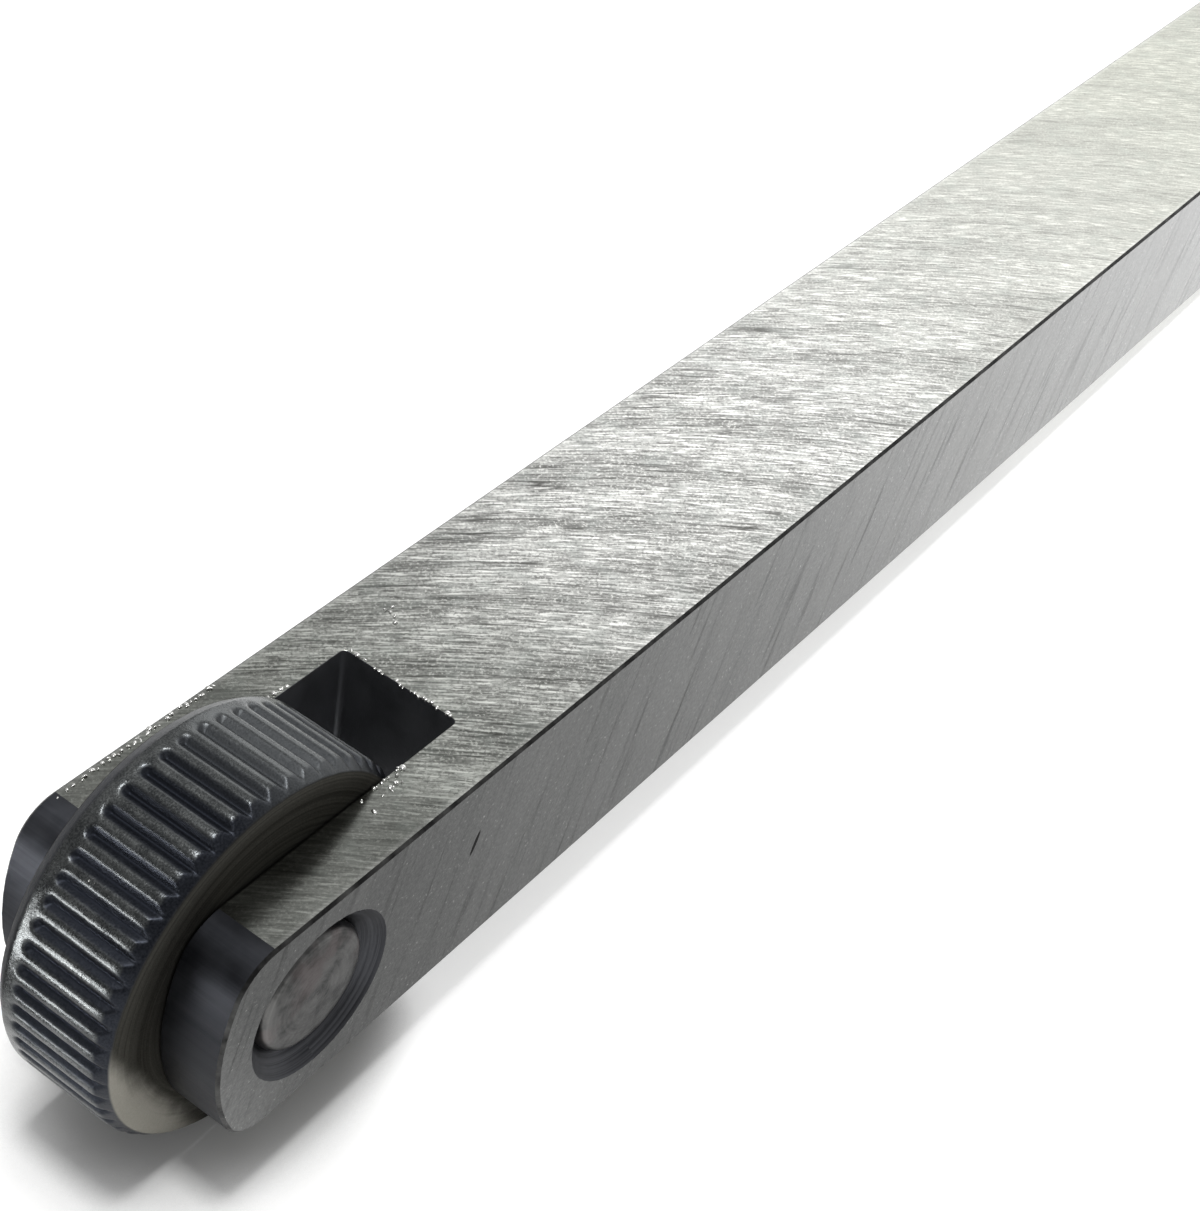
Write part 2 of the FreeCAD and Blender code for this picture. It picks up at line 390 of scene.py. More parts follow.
# Countersinks: turned with a drill, dark in their rings
def makeSinkSteel():
    material, nodes, shader, place = newMaterial("sinkSteel")
    rings = nodes.use(turnedRings, Position=place, Spacing=0.12, Seed=1.0)
    base = nodes.mix(nodes.ramp(rings["Rings"], 0.3, 0.7), colour(0.03, 0.031, 0.035), colour(0.09, 0.092, 0.1))
    nodes.feed(shader, base=base, rough=nodes.ramp(rings["Rings"], 0.3, 0.7, 0.4, 0.5),
               normal=bumped(nodes, rings["Rings"], 0.4, 0.02 * mm))
    return material


# The knurl wheel: one tooth is meshed, and a Geometry Nodes tree repeats it round the axle

wheelSizes = {
    "teeth": 54,
    "grooveDepth": 0.38 * mm,      # walls at 45 degrees
    "runout": 0.45 * mm,           # smooth rim that is left behind the blind ends
    "bevelWidth": 0.65 * mm,
    "bevelDrop": 0.52 * mm,
    "bore": 3.225 * mm,
    "boreChamfer": 0.3 * mm,
    "crestRounding": 0.1 * mm,
    "floorRounding": 0.05 * mm,
    "rimRounding": 0.09 * mm,
    "stepsAcross": 22,
    "unevenness": 0.035 * mm,
    "seed": 4.0,
}


def softMax(first, second, width):
    gap = first - second
    return (first + second + math.sqrt(gap * gap + width * width)) / 2


def spread(start, end, count):
    return [start + (end - start) * step / count for step in range(count)]


# (radius, y) points round the wheel's section: bore, front flank, front bevel, tread, back bevel, back flank
def wheelStations(s):
    half = wheelHalfWidth
    flank = wheelRadius - s["bevelDrop"]
    treadEnd = half - s["bevelWidth"]
    inner = s["bore"] + s["boreChamfer"]
    blindEnd = treadEnd - s["runout"] - s["grooveDepth"]
    side = [(radius, half) for radius in spread(inner, flank, 5)]
    crossing = spread(-half, -treadEnd, 9) + spread(-treadEnd, blindEnd - 0.1 * mm, 15)
    crossing += spread(blindEnd - 0.1 * mm, treadEnd, 17) + spread(treadEnd, half, 9) + [half]
    stations = [(s["bore"], 0.0), (s["bore"], -half + s["boreChamfer"])]
    stations += [(radius, -y) for radius, y in side]
    for y in crossing:
        bevel = flank + (half - abs(y)) * s["bevelDrop"] / s["bevelWidth"]
        stations.append((-softMax(-wheelRadius, -bevel, s["rimRounding"]), y))
    stations += side[::-1] + [(s["bore"], half - s["boreChamfer"])]
    return stations


# One pitch of the wheel, centred on a groove over the top, as a V cutter with a round end leaves it
def toothMesh(s):
    pitch = 2 * math.pi / s["teeth"]
    endY = wheelHalfWidth - s["bevelWidth"] - s["runout"] - s["grooveDepth"]
    stations = wheelStations(s)
    across = s["stepsAcross"]
    points, depths = [], []
    for radius, y in stations:
        for step in range(across + 1):
            angle = pitch * (step / across - 0.5)
            reach = math.hypot(math.hypot(radius * angle, max(0.0, y - endY)), s["floorRounding"])
            cut = wheelRadius - softMax(0.0, s["grooveDepth"] - reach, s["crestRounding"])
            onRim = radius > wheelRadius - s["bevelDrop"] - 0.2 * mm
            lowered = -softMax(-radius, -cut, s["crestRounding"]) if onRim else radius
            points.append((lowered * math.sin(angle), y, lowered * math.cos(angle)))
            depths.append(max(0.0, (radius - lowered) / s["grooveDepth"]))
    rows = len(stations)
    faces = []
    for row in range(rows):
        after = (row + 1) % rows
        for step in range(across):
            here = row * (across + 1) + step
            there = after * (across + 1) + step
            faces.append((here, here + 1, there + 1, there))
    mesh = meshFrom("tooth", points, faces)
    mesh.attributes.new("grooveDepth", "FLOAT", "POINT").data.foreach_set("value", depths)
    return mesh


# Geometry Nodes: the tooth is repeated round the axle, joined, made slightly uneven and given its finish
def makeTeethRoundAxle():
    tree = bpy.data.node_groups.new("teethRoundAxle", "GeometryNodeTree")
    for name, kind in (("Tooth", "NodeSocketGeometry"), ("Tooth Count", "NodeSocketInt"),
                       ("Axle", "NodeSocketVector"), ("Unevenness", "NodeSocketFloat"),
                       ("Seed", "NodeSocketFloat"), ("Finish", "NodeSocketMaterial")):
        tree.interface.new_socket(name, in_out="INPUT", socket_type=kind)
    tree.interface.new_socket("Wheel", in_out="OUTPUT", socket_type="NodeSocketGeometry")
    nodes = Nodes(tree)
    given = nodes.add("NodeGroupInput").outputs
    pitch = nodes.math("DIVIDE", 2 * math.pi, given["Tooth Count"])
    index = nodes.add("GeometryNodeInputIndex").outputs[0]
    turn = nodes.join(y=nodes.math("MULTIPLY", index, pitch))
    places = nodes.add("GeometryNodeMeshLine", {"Count": given["Tooth Count"], "Offset": (0, 0, 0)})
    teeth = nodes.add("GeometryNodeInstanceOnPoints",
                      {"Points": places.outputs[0], "Instance": given["Tooth"], "Rotation": turn})
    ring = nodes.add("GeometryNodeRealizeInstances", {0: teeth.outputs[0]})
    joined = nodes.add("GeometryNodeMergeByDistance", {"Geometry": ring.outputs[0], "Distance": 0.002 * mm})
    placed = nodes.add("GeometryNodeTransform", {"Geometry": joined.outputs[0], "Translation": given["Axle"]})
    position = nodes.add("GeometryNodeInputPosition").outputs[0]
    noise = nodes.add("ShaderNodeTexNoise", {"Vector": position, "W": given["Seed"], "Scale": 1600.0},
                      noise_dimensions="4D").outputs[0]
    push = nodes.math("MULTIPLY", nodes.math("SUBTRACT", noise, 0.6), given["Unevenness"])
    normal = nodes.add("GeometryNodeInputNormal").outputs[0]
    offset = nodes.vector("SCALE", normal, scale=push).outputs[0]
    uneven = nodes.add("GeometryNodeSetPosition", {"Geometry": placed.outputs[0], "Offset": offset})
    smooth = nodes.add("GeometryNodeSetShadeSmooth", {"Geometry": uneven.outputs[0]})
    finished = nodes.add("GeometryNodeSetMaterial", {"Geometry": smooth.outputs[0], "Material": given["Finish"]})
    nodes.add("NodeGroupOutput", {0: finished.outputs[0]})
    return tree


# Runs a Geometry Nodes tree on a mesh with the given inputs and keeps the result as a plain mesh
def grow(name, mesh, tree, values):
    source = newObject(name + "Source", mesh)
    modifier = source.modifiers.new("tree", "NODES")
    modifier.node_group = tree
    for item in tree.interface.items_tree:
        if item.in_out == "INPUT" and item.name in values:
            modifier[item.identifier] = values[item.name]
    depsgraph = bpy.context.evaluated_depsgraph_get()
    result = bpy.data.meshes.new_from_object(source.evaluated_get(depsgraph), depsgraph=depsgraph)
    source.modifiers.clear()
    bpy.data.objects.remove(source)
    result.name = name
    return newObject(name, result)


# Geometry Nodes: small burrs, squashed beads scattered at random along the edges that are fed in
def makeBurrsAlongEdges():
    tree = bpy.data.node_groups.new("burrsAlongEdges", "GeometryNodeTree")
    for name, kind in (("Edges", "NodeSocketGeometry"), ("Spacing", "NodeSocketFloat"),
                       ("Share", "NodeSocketFloat"), ("Spread", "NodeSocketFloat"),
                       ("Bead Size", "NodeSocketFloat"), ("Seed", "NodeSocketInt"),
                       ("Finish", "NodeSocketMaterial")):
        tree.interface.new_socket(name, in_out="INPUT", socket_type=kind)
    tree.interface.new_socket("Burrs", in_out="OUTPUT", socket_type="NodeSocketGeometry")
    nodes = Nodes(tree)
    given = nodes.add("NodeGroupInput").outputs

    def randomly(kind, low, high):
        node = nodes.add("FunctionNodeRandomValue", data_type=kind)
        first = {"FLOAT": 2, "FLOAT_VECTOR": 0}[kind]
        node.inputs[first].default_value = low
        node.inputs[first + 1].default_value = high
        nodes.tree.links.new(given["Seed"], node.inputs["Seed"])
        return node.outputs[{"FLOAT": 1, "FLOAT_VECTOR": 0}[kind]]

    curves = nodes.add("GeometryNodeMeshToCurve", {0: given["Edges"]})
    places = nodes.add("GeometryNodeCurveToPoints", {0: curves.outputs[0], "Length": given["Spacing"]},
                       mode="LENGTH")
    dropped = nodes.math("GREATER_THAN", randomly("FLOAT", 0.0, 1.0), given["Share"])
    kept = nodes.add("GeometryNodeDeleteGeometry", {0: places.outputs[0], 1: dropped})
    jitter = nodes.vector("SCALE", randomly("FLOAT_VECTOR", (-1, -1, -0.15), (1, 1, 0.15)),
                          scale=given["Spread"])
    moved = nodes.add("GeometryNodeSetPosition", {"Geometry": kept.outputs[0], "Offset": jitter.outputs[0]})
    bead = nodes.add("GeometryNodeMeshIcoSphere", {"Radius": given["Bead Size"], "Subdivisions": 2})
    size = randomly("FLOAT_VECTOR", (0.25, 0.25, 0.2), (1.0, 1.0, 0.7))
    turn = randomly("FLOAT_VECTOR", (0, 0, 0), (0, 0, 6.28))
    beads = nodes.add("GeometryNodeInstanceOnPoints", {"Points": moved.outputs[0], "Instance": bead.outputs[0],
                                                       "Rotation": turn, "Scale": size})
    real = nodes.add("GeometryNodeRealizeInstances", {0: beads.outputs[0]})
    smooth = nodes.add("GeometryNodeSetShadeSmooth", {"Geometry": real.outputs[0]})
    finished = nodes.add("GeometryNodeSetMaterial", {"Geometry": smooth.outputs[0], "Material": given["Finish"]})
    nodes.add("NodeGroupOutput", {0: finished.outputs[0]})
    return tree


burrsAlongEdges = makeBurrsAlongEdges()


# Where burrs and swarf sit on the shank's top, measured from the axle: start and end of each row, in mm
burrSizes = {
    "spacing": 0.16 * mm,
    "share": 0.5,
    "spread": 0.12 * mm,
    "beadSize": 0.16 * mm,
    "seed": 3,
    "slotEdge": ((4.6, -3.3), (8.3, -3.15)),
    "slotSpread": ((6.3, -3.7), (8.3, -3.8)),
    "slotRoot": ((12.27, -3.0), (12.27, 3.4)),
    "farEdge": ((-3.2, 6.0), (6.5, 6.05)),
    "farSlot": ((-1.5, 3.75), (8.5, 3.75)),
    "pits": ((15.3, 2.9), (15.8, 4.2)),
    "morePits": ((15.2, 3.1), (16.0, 4.0)),
    "beads": ((4.9, -4.0), (5.8, -4.1)),       # larger ones by the slot
    "moreBeads": ((7.0, -3.5), (8.2, -3.3)),
    "largeBead": 0.24 * mm,
    "beadSpacing": 0.4 * mm,
    "toothAngle": -43.0,           # a burr across one groove of the wheel
    "toothRow": ((9.36, 0.15), (9.36, 0.7)),
    "toothSpacing": 0.11 * mm,
    "toothSpread": 0.03 * mm,
    "toothSeed": 5,
}


def growBurrs(name, rows, values, body):
    points = [point for row in rows for point in row]
    mesh = bpy.data.meshes.new(name)
    mesh.from_pydata(points, [(index, index + 1) for index in range(0, len(points), 2)], [])
    piece = grow(name, mesh, burrsAlongEdges, values)
    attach(piece, body)
    print(name, len(piece.data.polygons), "faces")


def makeBurrs(s):
    values = {"Spacing": s["spacing"], "Share": s["share"], "Spread": s["spread"], "Bead Size": s["beadSize"],
              "Seed": s["seed"], "Finish": makeBrightSteel()}

    def rows(*names):
        return [[(axle.x + x * mm, y * mm, barHigh.z) for x, y in s[name]] for name in names]

    smallRows = rows("slotEdge", "slotSpread", "slotRoot", "farEdge", "farSlot", "pits", "morePits")
    growBurrs("slotBurrs", smallRows, values, "holder")
    values.update({"Spacing": s["beadSpacing"], "Share": 0.8, "Bead Size": s["largeBead"]})
    growBurrs("slotBeads", rows("beads", "moreBeads"), values, "holder")
    turn = math.radians(s["toothAngle"])
    row = [(axle.x + radius * mm * math.sin(turn), axle.y + y * mm, axle.z + radius * mm * math.cos(turn))
           for radius, y in s["toothRow"]]
    values.update({"Spacing": s["toothSpacing"], "Share": 1.0, "Spread": s["toothSpread"],
                   "Bead Size": s["beadSize"], "Seed": s["toothSeed"]})
    growBurrs("toothBurr", [row], values, "wheel")


# Freshly torn steel of the burrs
def makeBrightSteel():
    material, nodes, shader, place = newMaterial("brightSteel")
    spots = nodes.use(mottle, Position=place, Size=0.4, Seed=2.0)
    base = nodes.mix(nodes.ramp(spots["Cloud"], 0.35, 0.65), colour(0.5, 0.5, 0.48), colour(0.85, 0.85, 0.83))
    nodes.feed(shader, base=base, rough=nodes.ramp(spots["Grain"], 0.3, 0.7, 0.15, 0.35),
               normal=bumped(nodes, spots["Cloud"], 0.4, 0.02 * mm))
    return material


# Hardened steel: dark on the bevels, dark in the grooves with painted shade deeper in them, and bright where the
# crests have worn
def makeHardenedSteel():
    material, nodes, shader, place = newMaterial("hardenedSteel")
    deep = nodes.add("ShaderNodeAttribute", attribute_name="grooveDepth").outputs["Fac"]
    rings = nodes.use(turnedRings, Position=place, Spacing=0.14, Seed=6.0)
    spots = nodes.use(mottle, Position=place, Size=1.0, Seed=3.0)
    radius = rings["Radius"]
    worn = nodes.ramp(radius, wheelRadius / mm - 0.17, wheelRadius / mm - 0.04, 0.0, 1.0, True)
    bevel = nodes.ramp(radius, wheelRadius / mm - 0.56, wheelRadius / mm - 0.46, 0.0, 1.0, True)
    flank = nodes.mix(nodes.ramp(rings["Rings"], 0.3, 0.7),
                      colour(0.03, 0.029, 0.026), colour(0.075, 0.073, 0.065))
    apart = nodes.split(nodes.vector("SUBTRACT", place, tuple(axle)).outputs[0])
    low = nodes.math("MULTIPLY_ADD", apart[0], 1.8, apart[2])
    low = nodes.math("MULTIPLY_ADD", nodes.math("ADD", spots["Cloud"], rings["Rings"]), 1 * mm, low)
    paintedFlankReflection = nodes.ramp(low, -13.0 * mm, -15.4 * mm, 0.0, 0.95, True)         # painted reflection: a pale patch low at the front of the flank
    flank = nodes.mix(paintedFlankReflection, flank, colour(0.33, 0.32, 0.285))
    dark = nodes.mix(nodes.ramp(spots["Grain"], 0.3, 0.7),
                     colour(0.015, 0.017, 0.022), colour(0.034, 0.037, 0.045))
    patches = nodes.math("MULTIPLY_ADD", nodes.ramp(spots["Grain"], 0.36, 0.64), 0.5,
                         nodes.ramp(spots["Cloud"], 0.35, 0.65, 0.0, 0.5))
    crest = nodes.mix(patches, colour(0.045, 0.048, 0.05), colour(0.15, 0.157, 0.156))
    base = nodes.mix(bevel, flank, dark)
    base = nodes.mix(worn, base, crest)
    # painted shade: darker deeper in the grooves
    base = nodes.mix(nodes.ramp(deep, 0.45, 0.95, 0.0, 0.9, True), base, colour(0.022, 0.025, 0.033))
    # paler teeth at the wheel's top, by the slot
    paleTopTeeth = nodes.math("MULTIPLY", nodes.ramp(apart[0], -2.0 * mm, 2.5 * mm, 0.0, 0.8, True),
                       nodes.ramp(apart[2], 5 * mm, 9 * mm, 0.0, 1.0, True))
    paleTopTeeth = nodes.math("MULTIPLY", paleTopTeeth, nodes.ramp(spots["Grain"], 0.36, 0.6, 0.7, 1.0))
    base = nodes.mix(nodes.math("MULTIPLY", paleTopTeeth, bevel), base, colour(0.095, 0.1, 0.102))
    tint = nodes.mix(bevel, colour(0.4, 0.39, 0.36), colour(1, 1, 1))
    nodes.tree.links.new(tint, shader.inputs["Specular Tint"])
    dull = nodes.math("ADD", nodes.math("MULTIPLY", deep, 0.2), nodes.ramp(bevel, 0.0, 1.0, 0.25, 0.0))
    rough = nodes.math("ADD", nodes.ramp(spots["Grain"], 0.3, 0.7, 0.32, 0.46), dull)
    rough = nodes.math("MULTIPLY_ADD", worn, -0.16, rough)       # crests are polished by rolling
    height = nodes.math("ADD", nodes.math("MULTIPLY", rings["Rings"], 0.5), spots["Grain"])
    nodes.feed(shader, base=base, rough=rough, normal=bumped(nodes, height, 0.5, 0.02 * mm))
    return material


def makeWheel(s):
    finish = makeHardenedSteel()
    values = {"Tooth Count": s["teeth"], "Axle": axle, "Unevenness": s["unevenness"], "Seed": s["seed"],
              "Finish": finish}
    piece = grow("knurledWheel", toothMesh(s), makeTeethRoundAxle(), values)
    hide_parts("knurl_wheel")
    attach(piece, "wheel")
    print("wheel:", len(piece.data.polygons), "faces")


# The shank: the CAD form with its curves smoothed, its edges softened and a finish on each kind of face

shankSizes = {
    "softening": 0.035 * mm,
    "edgeBreak": 0.15 * mm,
    "tailChamfer": 0.8 * mm,
    "sinkRadius": 4.25 * mm,
    "slotHalfWidth": 3.375 * mm,
    "slotShift": 0.25 * mm,
    "slotRoot": -54.25 * mm,
}


def finishOf(face, s):
    centre = face.calc_center_median()
    normal = face.normal
    near = 0.03 * mm
    inSlot = abs(centre.y - s["slotShift"]) < s["slotHalfWidth"] + near and centre.x < s["slotRoot"] + near
    fromAxle = math.hypot(centre.x - axle.x, centre.z - axle.z)
    if abs(normal.z) > 0.999 and abs(centre.z - axle.z) > (barHigh.z - barLow.z) / 2 - 0.01 * mm:
        return "top"
    if abs(normal.y) > 0.999 and abs(centre.y) > barHigh.y - 0.01 * mm:
        return "side"
    if fromAxle < s["sinkRadius"] and abs(centre.y) > s["slotHalfWidth"] and not inSlot:
        return "sink"
    if abs(normal.y) > 0.3 and abs(normal.y) < 0.95 and abs(centre.y) > barHigh.y - s["edgeBreak"] - 0.01 * mm:
        return "edge"
    return "milled"


def makeShank(s):
    mesh = frame["nodes"]["shank"].data.copy()
    mesh.name = "groundShank"
    if "custom_normal" in mesh.attributes:
        mesh.attributes.remove(mesh.attributes["custom_normal"])
    work = bmesh.new()
    work.from_mesh(mesh)
    bmesh.ops.remove_doubles(work, verts=work.verts, dist=1e-7)
    bmesh.ops.dissolve_limit(work, angle_limit=math.radians(0.3), verts=work.verts, edges=work.edges)
    names = ["top", "side", "milled", "edge", "sink"]
    for face in work.faces:
        face.material_index = names.index(finishOf(face, s))
    sharp = [edge for edge in work.edges if edge.is_manifold and edge.calc_face_angle() > math.radians(60)]
    bmesh.ops.bevel(work, geom=sharp, offset=s["softening"], segments=2, profile=0.5, affect="EDGES",
                    clamp_overlap=True, harden_normals=False, material=-1)
    mesh.materials.clear()
    for finish in (makeGroundTop(groundSizes), makeGroundSide(sideSizes), makeMilledSteel(milledSizes), makePaintedShadeEdge(),
                   makeSinkSteel()):
        mesh.materials.append(finish)
    work.to_mesh(mesh)
    work.free()
    mesh.polygons.foreach_set("use_smooth", [True] * len(mesh.polygons))
    mesh.set_sharp_from_angle(angle=math.radians(18))
    piece = newObject("groundShank", mesh)
    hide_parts("shank")
    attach(piece, "holder")
    print("shank:", len(mesh.polygons), "faces")


# The axle pin: a turned profile with slightly domed ends

pinSizes = {
    "rimRounding": 0.5 * mm,
    "crown": 0.12 * mm,
    "roundSteps": 6,
    "domeSteps": 12,
    "segments": 96,
}


def pinProfile(s):
    end = pinHigh.y
    flat = pinRadius - s["rimRounding"]
    rim = end - s["crown"]
    profile = []
    for step in range(1, s["domeSteps"] + 1):
        share = step / s["domeSteps"]
        profile.append((flat * share, end - s["crown"] * share * share))
    for step in range(1, s["roundSteps"] + 1):
        angle = math.pi / 2 * step / s["roundSteps"]
        drop = s["rimRounding"] * (1 - math.cos(angle))
        profile.append((flat + s["rimRounding"] * math.sin(angle), rim - drop))
    return profile


def makePin(s):
    half = pinProfile(s)
    profile = half + [(radius, -y) for radius, y in half[::-1]]
    points = [(axle.x, pinHigh.y, axle.z)]
    for radius, y in profile:
        for step in range(s["segments"]):
            angle = 2 * math.pi * step / s["segments"]
            points.append((axle.x + radius * math.sin(angle), y, axle.z + radius * math.cos(angle)))
    points.append((axle.x, pinLow.y, axle.z))
    faces = []
    count = s["segments"]
    for step in range(count):
        after = (step + 1) % count
        faces.append((0, 1 + step, 1 + after))
        for row in range(len(profile) - 1):
            first = 1 + row * count
            faces.append((first + step, first + count + step, first + count + after, first + after))
        last = 1 + (len(profile) - 1) * count
        faces.append((len(points) - 1, last + after, last + step))
    mesh = meshFrom("axlePin", points, faces)
    work = bmesh.new()
    work.from_mesh(mesh)
    bmesh.ops.recalc_face_normals(work, faces=work.faces)
    work.to_mesh(mesh)
    work.free()
    mesh.polygons.foreach_set("use_smooth", [True] * len(mesh.polygons))
    mesh.materials.append(makePinSteel())
    piece = newObject("axlePin", mesh)
    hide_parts("axle_pin")
    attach(piece, "holder")
    print("pin:", len(mesh.polygons), "faces")


def makePinSteel():
    material, nodes, shader, place = newMaterial("pinSteel")
    rings = nodes.use(turnedRings, Position=place, Spacing=0.16, Seed=8.0)
    spots = nodes.use(mottle, Position=place, Size=1.1, Seed=6.0)
    tone = nodes.math("ADD", nodes.ramp(spots["Cloud"], 0.36, 0.6, 0.0, 0.7),
                      nodes.ramp(rings["Rings"], 0.3, 0.7, 0.0, 0.3))
    base = nodes.mix(tone, colour(0.022, 0.023, 0.023), colour(0.15, 0.149, 0.146))
    # painted highlight: rosy patches in the pin's colour
    paintedRosyHighlight = nodes.ramp(nodes.use(mottle, Position=place, Size=2.5, Seed=17.0)["Cloud"], 0.52, 0.66, 0.0, 0.35)
    base = nodes.mix(paintedRosyHighlight, base, colour(0.15, 0.11, 0.11))
    rough = nodes.ramp(spots["Grain"], 0.3, 0.7, 0.3, 0.42)
    height = nodes.math("ADD", nodes.math("MULTIPLY", rings["Rings"], 0.5), spots["Cloud"])
    nodes.feed(shader, base=base, rough=rough, normal=bumped(nodes, height, 0.4, 0.04 * mm))
    return material


# Floor, lights and camera

stageSizes = {
    "floorSize": 6.0,
    "floorColour": colour(0.64, 0.64, 0.635),
    "floorLift": 0.55,             # glow that the camera and reflections see, so that the floor is white
    "shadowReach": (9 * mm, 2.5 * mm),         # nearer the tool the glow fades, so that the shadow stays
    "reflectedShadeStart": 1 * mm,            # painted shade: only reflections see the floor darkened beside the tool, measured from the axle
    "reflectedShadeEnd": 60 * mm,
    "reflectedShadeDepth": 0.5,
    "reflectedShadeAhead": -50 * mm,          # and ahead of the far ear
    "aheadShade": 0.85,
    "aheadFront": (-8 * mm, -4 * mm),          # it ends here towards the head
    "aheadSide": (7 * mm, 15 * mm),            # and starts here across the bar
    "glowStart": 28 * mm,          # only reflections see a bright sheet beside the tail
    "glowEnd": 110 * mm,
    "sheetGlow": 0.85,
    "duskyRoom": 0.34,             # world behind the camera
    "paleRoom": 0.62,              # world towards the tail
    "paleSide": (0.88, 0.22, 0.42),
    "lowWindow": (-0.88, 0.47, 0.0),      # towards a small low window ahead of the head
    "lowWindowGlow": 16.0,
    "lowWindowReach": (0.14, 0.28),
    "patchPlace": (-76 * mm, 38 * mm),         # only reflections see this bright patch of floor below it
    "patchReach": 25 * mm,
    "patchGlow": 30.0,
    "keyPlace": (-0.15, -0.02, 0.8),
    "keyAim": (-0.04, 0.0, 0.0),
    "keySize": (0.13, 0.13),
    "keyPower": 3.8,
    "windowPlace": (0.36, 0.06, 0.24),
    "windowAim": (0.0, 0.0, 0.02),
    "windowSize": (0.5, 0.25),
    "windowPower": 0.56,
}


# The plane that the tool lies on: it touches the wheel from below and the tail's lower edge
def restPlane():
    tail = Vector((barHigh.x, 0, barLow.z))
    reach = tail - Vector((axle.x, 0, axle.z))
    angle = math.asin(wheelRadius / reach.length) - math.atan2(-reach.z, reach.x)
    return tail, angle


def makeFloor(s):
    tail, angle = restPlane()
    half = s["floorSize"] / 2
    corners = [(-half, -half, 0), (half, -half, 0), (half, half, 0), (-half, half, 0)]
    mesh = meshFrom("floor", corners, [(0, 1, 2, 3)])
    floor = newObject("floor", mesh)
    floor.location = tail
    floor.rotation_euler = (0, -angle, 0)
    material = bpy.data.materials.new("paleFloor")
    material.use_nodes = True
    nodes = Nodes(material.node_tree)
    material.node_tree.nodes.clear()
    rays = nodes.add("ShaderNodeLightPath").outputs
    mirrored = nodes.math("MAXIMUM", rays["Is Glossy Ray"], rays["Is Transmission Ray"])
    place = nodes.add("ShaderNodeNewGeometry").outputs["Position"]
    x, y = nodes.split(place)[:2]
    x = nodes.math("SUBTRACT", x, axle.x)
    # painted shade that only reflections see: the floor is darkened beside and ahead of the tool
    beside = nodes.ramp(x, s["reflectedShadeStart"] - 6 * mm, s["reflectedShadeStart"] + 4 * mm, 0.0, 1.0, True)
    reflectedShade = nodes.math("MULTIPLY", beside, nodes.ramp(x, s["reflectedShadeStart"], s["reflectedShadeEnd"], s["reflectedShadeDepth"], 0.0))
    shade = nodes.ramp(x, s["reflectedShadeAhead"] - 10 * mm, s["reflectedShadeAhead"] + 10 * mm, 0.0, s["aheadShade"])
    where = nodes.math("MULTIPLY", nodes.ramp(x, *s["aheadFront"], 1.0, 0.0),
                       nodes.ramp(y, *s["aheadSide"], 0.0, 1.0, True))
    ahead = nodes.math("MULTIPLY", shade, where)
    reflectedShade = nodes.math("MAXIMUM", reflectedShade, ahead)
    paper = nodes.add("ShaderNodeBsdfDiffuse", {"Color": nodes.mix(
        nodes.math("MULTIPLY", reflectedShade, mirrored), s["floorColour"], colour(0.02, 0.02, 0.022))}).outputs[0]
    reach = nodes.ramp(x, -6 * mm, 14 * mm, s["shadowReach"][0], s["shadowReach"][1])
    reach = nodes.math("SUBTRACT", reach, nodes.ramp(x, 14 * mm, 80 * mm, 0.0, s["shadowReach"][1] * 0.7))
    openness = nodes.add("ShaderNodeAmbientOcclusion", {"Distance": reach}, samples=16).outputs["AO"]
    shown = nodes.math("MAXIMUM", rays["Is Camera Ray"], nodes.math("SUBTRACT", mirrored, reflectedShade))
    seen = nodes.math("MULTIPLY", nodes.ramp(openness, 0.5, 0.9, 0.0, s["floorLift"], True), shown)
    glow = nodes.math("MULTIPLY", nodes.ramp(x, s["glowStart"], s["glowEnd"], 0.0, s["sheetGlow"], True), mirrored)
    middle = (axle.x + s["patchPlace"][0], s["patchPlace"][1], 0)
    far = nodes.vector("LENGTH", nodes.vector("SUBTRACT", place, middle).outputs[0]).outputs["Value"]
    patch = nodes.ramp(far, s["patchReach"] / 2, s["patchReach"], s["patchGlow"], 0.0, True)
    glow = nodes.math("ADD", glow, nodes.math("MULTIPLY", patch, mirrored))
    lift = nodes.add("ShaderNodeEmission", {"Color": colour(1, 1, 1),
                                            "Strength": nodes.math("ADD", seen, glow)}).outputs[0]
    both = nodes.add("ShaderNodeAddShader", {0: paper, 1: lift}).outputs[0]
    nodes.add("ShaderNodeOutputMaterial", {"Surface": both})
    mesh.materials.append(material)


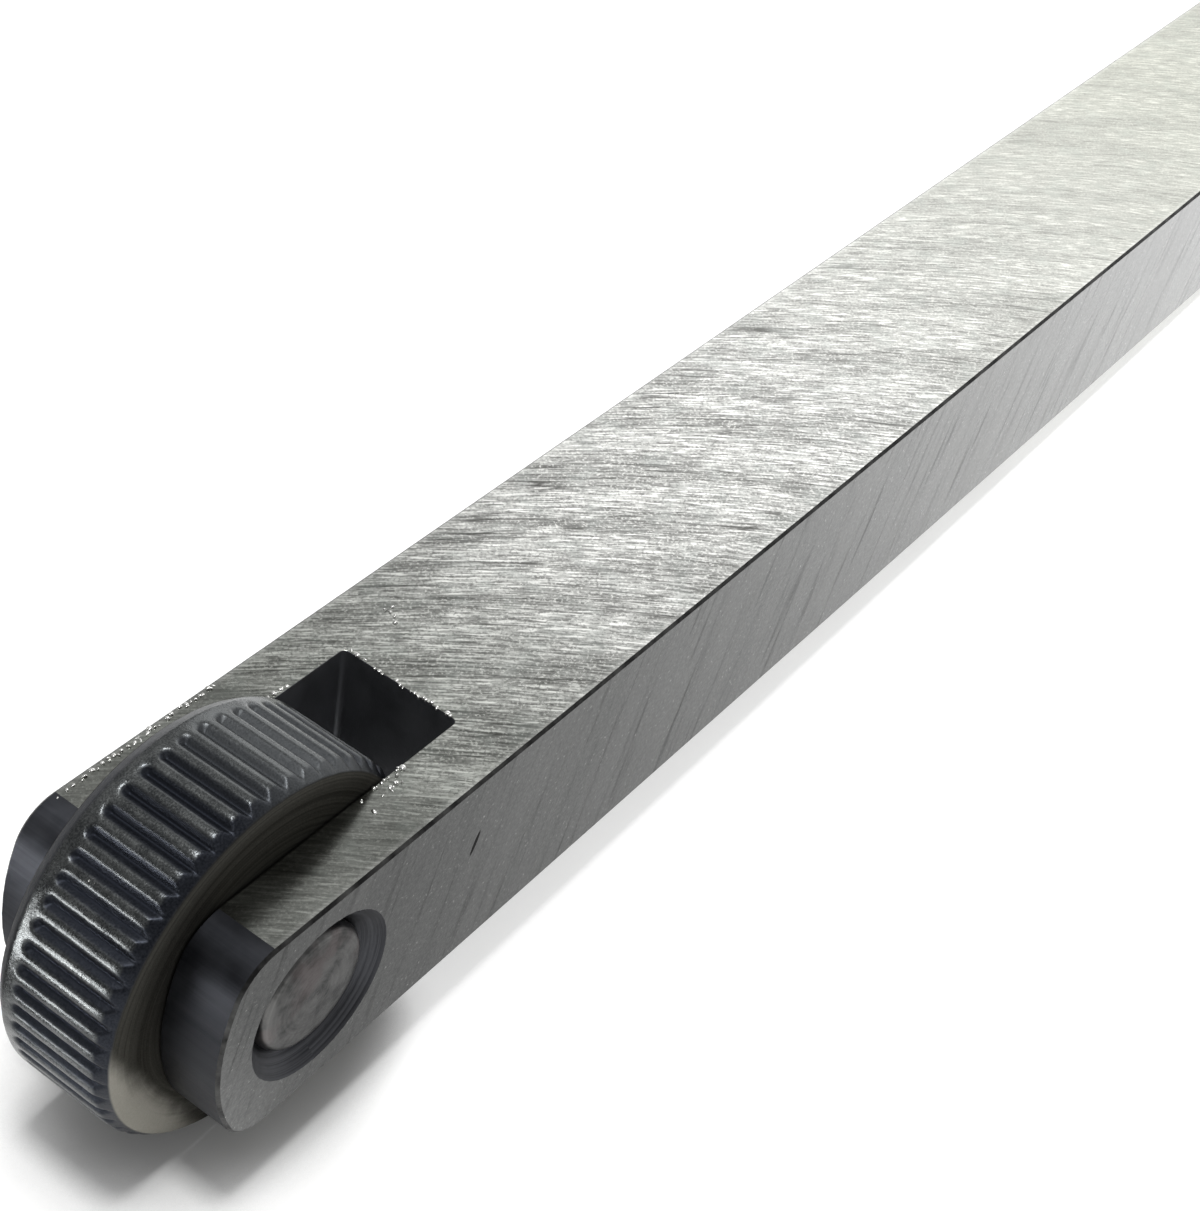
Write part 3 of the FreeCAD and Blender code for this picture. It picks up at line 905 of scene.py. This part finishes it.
# A dusky room that is pale towards the tail, with one low window. Only the camera sees the white backdrop:
# reflections see the room
def makeWorld(s):
    world = bpy.data.worlds.new("studio")
    bpy.context.scene.world = world
    world.use_nodes = True
    nodes = Nodes(world.node_tree)
    world.node_tree.nodes.clear()
    rays = nodes.add("ShaderNodeLightPath").outputs
    direction = nodes.add("ShaderNodeTexCoord").outputs["Generated"]
    towards = nodes.vector("DOT_PRODUCT", direction, s["paleSide"]).outputs["Value"]
    room = nodes.ramp(towards, -0.6, 1.0, s["duskyRoom"], s["paleRoom"], True)
    apart = nodes.vector("MULTIPLY", nodes.vector("SUBTRACT", direction, s["lowWindow"]).outputs[0], (1, 1, 6))
    reach = nodes.vector("LENGTH", apart.outputs[0]).outputs["Value"]
    wall = nodes.ramp(reach, *s["lowWindowReach"], s["lowWindowGlow"], 0.0, True)
    strength = nodes.math("MAXIMUM", nodes.math("ADD", room, wall), rays["Is Camera Ray"])
    background = nodes.add("ShaderNodeBackground", {"Color": colour(1, 1, 1), "Strength": strength})
    nodes.add("ShaderNodeOutputWorld", {"Surface": background.outputs[0]})


def areaLight(name, place, aim, size, power):
    data = bpy.data.lights.new(name, "AREA")
    data.shape = "RECTANGLE"
    data.size, data.size_y = size
    data.energy = power
    light = bpy.data.objects.new(name, data)
    bpy.context.scene.collection.objects.link(light)
    light.location = place
    light.rotation_euler = (Vector(aim) - Vector(place)).to_track_quat("-Z", "Y").to_euler()


cameraSizes = {
    "place": (-116.993 * mm, -44.831 * mm, 82.971 * mm),
    "turn": (49.244, -8.149, -53.469),
    "lens": 68.776,
}


def makeCamera(s):
    data = bpy.data.cameras.new("camera")
    data.lens = s["lens"]
    data.sensor_width = 36.0
    data.clip_start = 0.01
    camera = bpy.data.objects.new("camera", data)
    bpy.context.scene.collection.objects.link(camera)
    camera.location = s["place"]
    camera.rotation_euler = [math.radians(angle) for angle in s["turn"]]
    bpy.context.scene.camera = camera


makeCamera(cameraSizes)
makeWheel(wheelSizes)
makeShank(shankSizes)
makePin(pinSizes)
makeBurrs(burrSizes)
makeFloor(stageSizes)
makeWorld(stageSizes)
for name in ("key", "window"):
    areaLight(name, stageSizes[name + "Place"], stageSizes[name + "Aim"], stageSizes[name + "Size"],
              stageSizes[name + "Power"])
bpy.context.scene.view_settings.view_transform = "Standard"
